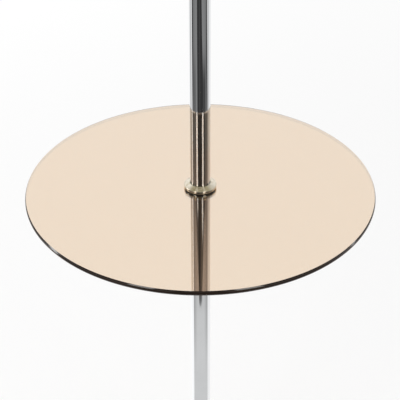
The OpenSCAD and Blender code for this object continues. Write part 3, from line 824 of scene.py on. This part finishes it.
def makeWireRing(name, node):
    low, high = heights(node)
    outline = arc(
        wire["ringRadius"], (low + high) / 2, wire["radius"], 0, wire["ringTurn"], wire["ringSteps"])
    piece = turnPiece(name, outline, shade["sides"])
    smooth(piece, wire["smoothAngle"])
    return settle(piece, "stand", whiteEnamel, "white_wire", node)


def makeArms():
    low, high = heights("shade_arms")
    level = high - wire["radius"]
    bpy.ops.object.select_all(action="DESELECT")
    bpy.ops.mesh.primitive_circle_add(
        vertices=wire["armSides"], radius=wire["radius"], fill_type="NGON",
        location=(0, wire["armStart"], level), rotation=(math.radians(90), 0, 0))
    bpy.ops.object.transform_apply(location=True, rotation=True, scale=True)
    arm = bpy.context.object
    bpy.ops.object.mode_set(mode="EDIT")
    bpy.ops.mesh.select_all(action="SELECT")
    bendFrom = wire["ringRadius"] - wire["bend"]
    straight = bendFrom - wire["armStart"]
    bpy.ops.mesh.extrude_region_move(TRANSFORM_OT_translate={"value": (0, straight, 0)})
    turn = 90 / wire["bendSteps"]
    for step in range(wire["bendSteps"]):      # the bend, a little at a time
        before, after = math.radians(turn * step), math.radians(turn * (step + 1))
        move = (0, wire["bend"] * (math.sin(after) - math.sin(before)),
                wire["bend"] * (math.cos(after) - math.cos(before)))
        bpy.ops.mesh.extrude_region_move(TRANSFORM_OT_translate={"value": move})
        centre = (0, bendFrom + wire["bend"] * math.sin(after),
                  level - wire["bend"] + wire["bend"] * math.cos(after))
        bpy.ops.transform.rotate(value=math.radians(turn), orient_axis="X", center_override=centre)
    drop = level - wire["bend"] - low
    bpy.ops.mesh.extrude_region_move(TRANSFORM_OT_translate={"value": (0, 0, -drop)})
    bpy.ops.mesh.select_all(action="SELECT")
    bpy.ops.mesh.normals_make_consistent(inside=False)
    bpy.ops.object.mode_set(mode="OBJECT")
    arms = [arm] + [copyPiece(arm, "shadeArm" + str(turn), turn) for turn in wire["otherArms"]]
    piece = joinPieces(arms)
    piece.name = "shadeArms"
    piece.data.name = "shadeArms"
    smooth(piece, wire["smoothAngle"])
    return settle(piece, "stand", whiteEnamel, "white_wire", "shade_arms")


makeShadePanel()
makeTape("bottomTape", "bottom_trim", False)
makeTape("topTape", "top_trim", True)
makeWireRing("bottomWire", "shade_bottom_ring")
makeWireRing("topWire", "shade_top_ring")
makeArms()
print("shade made")


# finishes of the CAD nodes that stay

nodeFinishes = {
    "felt_pad": darkFelt, "bottom_plate": zincSteel, "plate_screws": zincSteel, "base_weight": rawIron,
    "cord_gland": blackNylon, "gland_nut": blackNylon, "terminal_block": ivoryNylon,
    "terminal_screws": polishedBrass, "base_washer": zincSteel, "base_nut": polishedBrass,
    "base_nipple": polishedBrass, "lower_pole_foot_bush": zincSteel, "lower_pole_head_bush": zincSteel,
    "lower_washer": darkRubber, "glass_bush": ivoryNylon, "upper_washer": darkRubber,
    "table_nipple": polishedBrass, "upper_pole_foot_bush": zincSteel, "upper_pole_head_bush": zincSteel,
    "inner_cable": cableSheath, "head_nipple": polishedBrass, "housing_nut": polishedBrass,
    "lid_nipple": polishedBrass, "lid_nut": polishedBrass, "switch_module": blackNylon,
    "chain_nozzle": brightChrome, "nozzle_nut": zincSteel, "switch_plunger": ivoryNylon,
    "pull_chain": brightChrome, "holder_insert": glazedPorcelain, "centre_contact": polishedBrass,
    "holder_shell": polishedBrass, "lower_shade_ring": blackPhenolic, "upper_shade_ring": blackPhenolic,
    "shade_hub": whiteEnamel, "bulb_tip": brightAluminium, "bulb_insulator": blackPhenolic,
    "bulb_cap": brightAluminium,
}
for nodeName, finish in nodeFinishes.items():
    for materialSlot in nodes[nodeName].material_slots:
        materialSlot.link = "OBJECT"
        materialSlot.material = finish
print("CAD nodes finished")


# studio: a pale floor and wall, and the darker room in front of the lamp that metal also sees

# Distances are metres from the pole's axis. Turns are degrees round it from the camera's side, positive
# to the right, and heights in the room are degrees above the horizon. A pair of them is a soft step, from
# where it starts to where it is full. A band is its middle, its half width and its soft edge.

studio = {
    "size": 60, "drop": 0.3 * mm, "white": (1.02, 0.98), "floorReach": 0.6, "skyReach": 0.12, "fill": 0.72,
    "paper": (0.9, 0.9, 0.9), "ownLight": 0.55, "shadowReach": (0.7, 2.4),
}
frontFloor = {      # the floor on the camera's side
    "near": 0.68, "mid": 0.25, "midReach": (0.35, 1.15),
    "sideLight": 0.7, "sideTurn": (35, 85), "sideReach": (0.28, 0.5),
    "ringFrom": (0.75, 0.9), "ringTo": (1.36, 1.62), "ringDips": (((-58, 12, 8), 0.36), ((42, 20, 8), 0.72)),
}
darkStrip = {       # a dark strip on it that widens away from the lamp
    "light": 0.040, "line": (-3, 4, 3), "lineLight": 0.025, "middle": -5, "half": 25, "edge": 1.5,
    "reach": (0.507, 0.707), "widen": 12, "widenTurn": (0, 5), "widenFrom": (0.8, 1.1),
    "widenTo": (1.3, 1.9),
}
halo = {            # its soft sides where the pole is seen through the glass
    "from": (0.5, 0.53), "to": (0.84, 0.9), "middle": -1, "start": 0.375, "spread": 112, "edge": 6,
    "depth": 0.7, "core": 0.4, "shift": 4, "glow": 0.014,
}
backFloor = {       # the floor behind the lamp, paler near it
    "bendFrom": 1.3, "bend": -0.5, "lineNear": 0.01, "lineFar": 0.05, "lineReach": (0.4, 1.3), "edge": 0.02,
    "nearLeft": 1.12, "nearRight": 0.98, "nearTurn": 0.05, "reach": (0.5, 0.9),
    "left": 0.86, "leftDip": (118, 7, 5), "leftDipDepth": 0.4, "leftRise": (128, 140), "leftGain": 0.12,
    "right": 0.64, "rightRise": (106, 122), "rightGain": 0.3,
    "screen": (-0.21, 0.19, 0.03), "screenReach": (1.15, 1.5),
}
farFloor = {        # the floor further out, with three dark stripes, up to the walls
    "from": (2.2, 3.0), "light": 0.95, "dark": 0.10, "stripes": 3, "stripeEdge": (0.55, 0.8), "to": (9, 28),
    "shineFrom": (1.9, 2.0), "shineShift": 1.04,
}
# painted tinted shadow that the table's glass casts on the floor, as metal mirrors it
paintedGlassShadow = {"colour": (1.03, 0.88, 0.81), "from": (0.535, 0.545), "to": (1.02, 1.1), "sides": (60, 110),
             "sideShare": 0.5}
room = {            # walls and ceiling, as metal or glass mirrors them first
    "wall": 1.0, "front": 0.35, "frontTurn": (70, 100), "dip": (131, 18, 12), "dipDepth": 0.26,
    "windows": (((-98, 3.5, 1), 9), ((104, 1.5, 1), 6)), "windowTop": (36, 40),
    "ceiling": (0.385, 0.36, 0.25), "ceilingFrom": (42, 64),
    "boxes": ((-35.5, 7.5, 1), (29, 8, 1)), "boxBottom": 4, "boxTop": (36, 42), "boxLight": (6.5, 6.3, 6.0),
}
secondRoom = {      # the same room mirrored by a second surface
    "front": 0.065, "middle": 0.02, "middleTurn": (18, 40), "panel": (65, 4, 3), "panelLight": 0.08,
    "left": 0.15, "right": 0.38, "sideTurn": (84, 100), "backTurn": (122, 165),
    "window": (-96, 5.5, 1), "windowLight": 1.4,
    "boxStep": (32.2, 32.5), "highBoxes": (((-31, 5.5, 1), (32.5, 33.9)), ((25.5, 5.5, 1), (33.2, 35.2))),
    "boxLight": (2.4, 2.25, 2.05),
}


def azimuth(x, y):
    return x.maths("ARCTAN2", y * -1) * (180 / math.pi)


def whiteAlong(x, reach):
    # the background, a touch brighter on the left
    left, right = studio["white"]
    return blend(left, right, x.between(-reach, reach))


def wallLight(turn):
    return blend(room["front"], room["wall"], abs(turn).between(*room["frontTurn"]))


def addFrontFloor(away, turn):
    light = blend(frontFloor["near"], frontFloor["mid"], away.between(*frontFloor["midReach"]))
    aside = abs(turn).between(*frontFloor["sideTurn"]) * away.between(*frontFloor["sideReach"])
    light = light * blend(1, frontFloor["sideLight"], aside)
    ring = away.between(*frontFloor["ringFrom"]) * (1 - away.between(*frontFloor["ringTo"]))
    for dip, depth in frontFloor["ringDips"]:
        light = light * (1 - ring * band(turn, *dip) * depth)
    return light


def addDarkStrip(light, away, turn):
    under = away.between(*halo["from"]) * (1 - away.between(*halo["to"]))
    haloReach = (away - halo["start"]) * halo["spread"] + halo["edge"]
    inHalo = (haloReach - abs(turn - halo["middle"])).between(0, 2 * halo["edge"])
    light = light * (1 - inHalo * under * halo["depth"])
    reach = away.between(*darkStrip["reach"], smooth=False) ** 0.5 * darkStrip["half"]
    reach = reach * (1 - under * halo["core"])
    widen = turn.between(*darkStrip["widenTurn"]) * away.between(*darkStrip["widenFrom"])
    widen = widen * (1 - away.between(*darkStrip["widenTo"])) * darkStrip["widen"]
    fromMiddle = abs(turn - darkStrip["middle"] + under * halo["shift"])
    inDark = (reach + widen - fromMiddle).between(0, darkStrip["edge"])
    dark = band(turn, *darkStrip["line"]) * darkStrip["lineLight"] + darkStrip["light"]
    dark = dark + under * halo["glow"]
    return blend(light, dark, inDark)


def addBackFloor(light, away, turn, x, y):
    # the floor behind begins past a dark screen that lies further out
    line = backFloor["lineNear"] + away.between(*backFloor["lineReach"]) * backFloor["lineFar"]
    bend = (x - backFloor["bendFrom"]).maths("MAXIMUM", 0) * backFloor["bend"]
    behind = y - bend - (x < 0) * line
    isRight = x.between(-backFloor["nearTurn"], backFloor["nearTurn"])
    near = blend(backFloor["nearLeft"], backFloor["nearRight"], isRight)
    left = backFloor["left"] - band(abs(turn), *backFloor["leftDip"]) * backFloor["leftDipDepth"]
    left = left + abs(turn).between(*backFloor["leftRise"]) * backFloor["leftGain"]
    right = backFloor["right"] + abs(turn).between(*backFloor["rightRise"]) * backFloor["rightGain"]
    back = blend(near, blend(left, right, x > 0), away.between(*backFloor["reach"]))
    screen = band(behind, *backFloor["screen"]) * away.between(*backFloor["screenReach"])
    light = blend(light, darkStrip["light"], screen)
    return blend(light, back, behind.between(-backFloor["edge"], backFloor["edge"]))


def addFarFloor(light, away, turn):
    # the far floor carries the walls' light, and shines under their windows
    stripes = (turn * (farFloor["stripes"] * math.pi / 180)).maths("COSINE").between(*farFloor["stripeEdge"])
    far = blend(farFloor["light"], farFloor["dark"], stripes)
    light = blend(light, far, away.between(*farFloor["from"]))
    light = blend(light, wallLight(turn), away.between(*farFloor["to"]))
    for window, windowLight in room["windows"]:
        shine = band(turn * farFloor["shineShift"], *window) * away.between(*farFloor["shineFrom"])
        light = blend(light, windowLight, shine)
    return light


def paintedGlassShadowColour(away, turn):
    # a painted tinted shadow of the table's glass on the floor, in what the poles mirror under it
    share = away.between(*paintedGlassShadow["from"]) * (1 - away.between(*paintedGlassShadow["to"]))
    share = share * blend(1, paintedGlassShadow["sideShare"], abs(turn).between(*paintedGlassShadow["sides"]))
    return share.mixColours((1, 1, 1, 1), (*paintedGlassShadow["colour"], 1))


def makeFloor():
    bpy.ops.object.select_all(action="DESELECT")
    bpy.ops.mesh.primitive_plane_add(size=studio["size"], location=(0, 0, -studio["drop"]))
    floor = bpy.context.object
    floor.name = "studioFloor"
    material = bpy.data.materials.new("studioPaper")
    material.use_nodes = True
    tree = material.node_tree
    tree.nodes.remove(tree.nodes["Principled BSDF"])
    start = Signal(tree)
    path = start.node("LightPath").socket.node
    isDiffuse = Signal(tree, path.outputs["Is Diffuse Ray"])
    isMirrored = Signal(tree, path.outputs["Glossy Depth"]) > 0.5
    x, y, z = splitPlace(objectPlace(start))
    away = fromAxis(x, y)
    turn = azimuth(x, y)

    light = addFrontFloor(away, turn)
    light = addDarkStrip(light, away, turn)
    light = addBackFloor(light, away, turn, x, y)
    light = addFarFloor(light, away, turn)
    # the mirrored floor, with the painted shadow of the glass in its colour
    mirrored = start.node("Emission", values={"Color": paintedGlassShadowColour(away, turn), "Strength": light})

    plain = start.node("Emission", values={"Strength": whiteAlong(x, studio["floorReach"])})
    paper = start.node("BsdfDiffuse", values={"Color": (*studio["paper"], 1)})
    ownLight = blend(studio["ownLight"], 1, away.between(*studio["shadowReach"])) * (1 - isDiffuse)
    direct = start.node("MixShader", values={0: ownLight, 1: paper, 2: plain})
    whole = start.node("MixShader", values={0: isMirrored, 1: direct, 2: mirrored})
    tree.links.new(whole.socket, tree.nodes["Material Output"].inputs["Surface"])
    floor.data.materials.append(material)


def firstMirrored(turn, up):
    light = wallLight(turn) * (1 - band(turn, *room["dip"]) * room["dipDepth"])
    for window, windowLight in room["windows"]:
        light = blend(light, windowLight, band(turn, *window) * (1 - up.between(*room["windowTop"])))
    return light


def secondMirrored(turn):
    front = blend(secondRoom["middle"], secondRoom["front"], abs(turn).between(*secondRoom["middleTurn"]))
    front = front + band(abs(turn), *secondRoom["panel"]) * secondRoom["panelLight"]
    side = blend(secondRoom["left"], secondRoom["right"], turn > 0)
    side = blend(side, room["wall"], abs(turn).between(*secondRoom["backTurn"]))
    light = blend(front, side, abs(turn).between(*secondRoom["sideTurn"]))
    return blend(light, secondRoom["windowLight"], band(turn, *secondRoom["window"]))


def softboxes(turn, up, isSecond):
    # two lamps in front; a second surface shows them narrower higher up
    low = [band(turn, *box) for box in room["boxes"]]
    high = [band(turn, *box) * (1 - up.between(*top)) for box, top in secondRoom["highBoxes"]]
    first = (low[0] + low[1]) * (1 - up.between(*room["boxTop"]))
    second = blend(low[0] + low[1], high[0] + high[1], up.between(*secondRoom["boxStep"]))
    return blend(first, second, isSecond) * (up > room["boxBottom"])


def makeWorld():
    world = bpy.data.worlds.new("studio")
    bpy.context.scene.world = world
    world.use_nodes = True
    tree = world.node_tree
    start = Signal(tree)
    path = start.node("LightPath").socket.node
    isDiffuse = Signal(tree, path.outputs["Is Diffuse Ray"])
    glossyDepth = Signal(tree, path.outputs["Glossy Depth"])
    isSecond = glossyDepth > 1.5
    x, y, z = splitPlace(start.node("TexCoord", output=0))
    turn = azimuth(x, y)
    up = z.maths("ARCSINE") * (180 / math.pi)

    walls = blend(firstMirrored(turn, up), secondMirrored(turn), isSecond)
    walls = start.node("CombineColor", values={0: walls, 1: walls, 2: walls})
    boxLight = isSecond.mixColours((*room["boxLight"], 1), (*secondRoom["boxLight"], 1))
    mirrored = softboxes(turn, up, isSecond).mixColours(walls, boxLight)
    mirrored = up.between(*room["ceilingFrom"]).mixColours(mirrored, (*room["ceiling"], 1))

    plain = blend(whiteAlong(x, studio["skyReach"]), studio["fill"], isDiffuse)
    plain = start.node("CombineColor", values={0: plain, 1: plain, 2: plain})
    colour = (glossyDepth > 0.5).mixColours(plain, mirrored)
    tree.links.new(colour.socket, tree.nodes["Background"].inputs["Color"])


lamps = {
    "keyLeft": {"side": -38, "up": 40, "away": 2.6, "size": (1.0, 1.3), "power": 16},
    "keyRight": {"side": 42, "up": 35, "away": 2.8, "size": (1.0, 1.3), "power": 11},
    "backFill": {"side": 180, "up": 35, "away": 3.2, "size": (2.0, 1.6), "power": 12},
    "topFill": {"side": 0, "up": 89, "away": 3.0, "size": (1.6, 1.6), "power": 14},
}
aim = 0.75      # height that the lamps point at


def makeLamp(name, lamp):
    side, up = math.radians(lamp["side"]), math.radians(lamp["up"])
    flat = lamp["away"] * math.cos(up)
    bpy.ops.object.select_all(action="DESELECT")
    bpy.ops.object.light_add(
        type="AREA", rotation=(math.pi / 2 - up, 0, side),
        location=(flat * math.sin(side), -flat * math.cos(side), aim + lamp["away"] * math.sin(up)))
    made = bpy.context.object
    made.name = name
    made.data.shape = "RECTANGLE"
    made.data.size, made.data.size_y = lamp["size"]
    made.data.energy = lamp["power"]
    made.visible_camera = False
    made.visible_transmission = False
    made.visible_glossy = False


makeFloor()
makeWorld()
for lampName, lamp in lamps.items():
    makeLamp(lampName, lamp)
print("studio made")
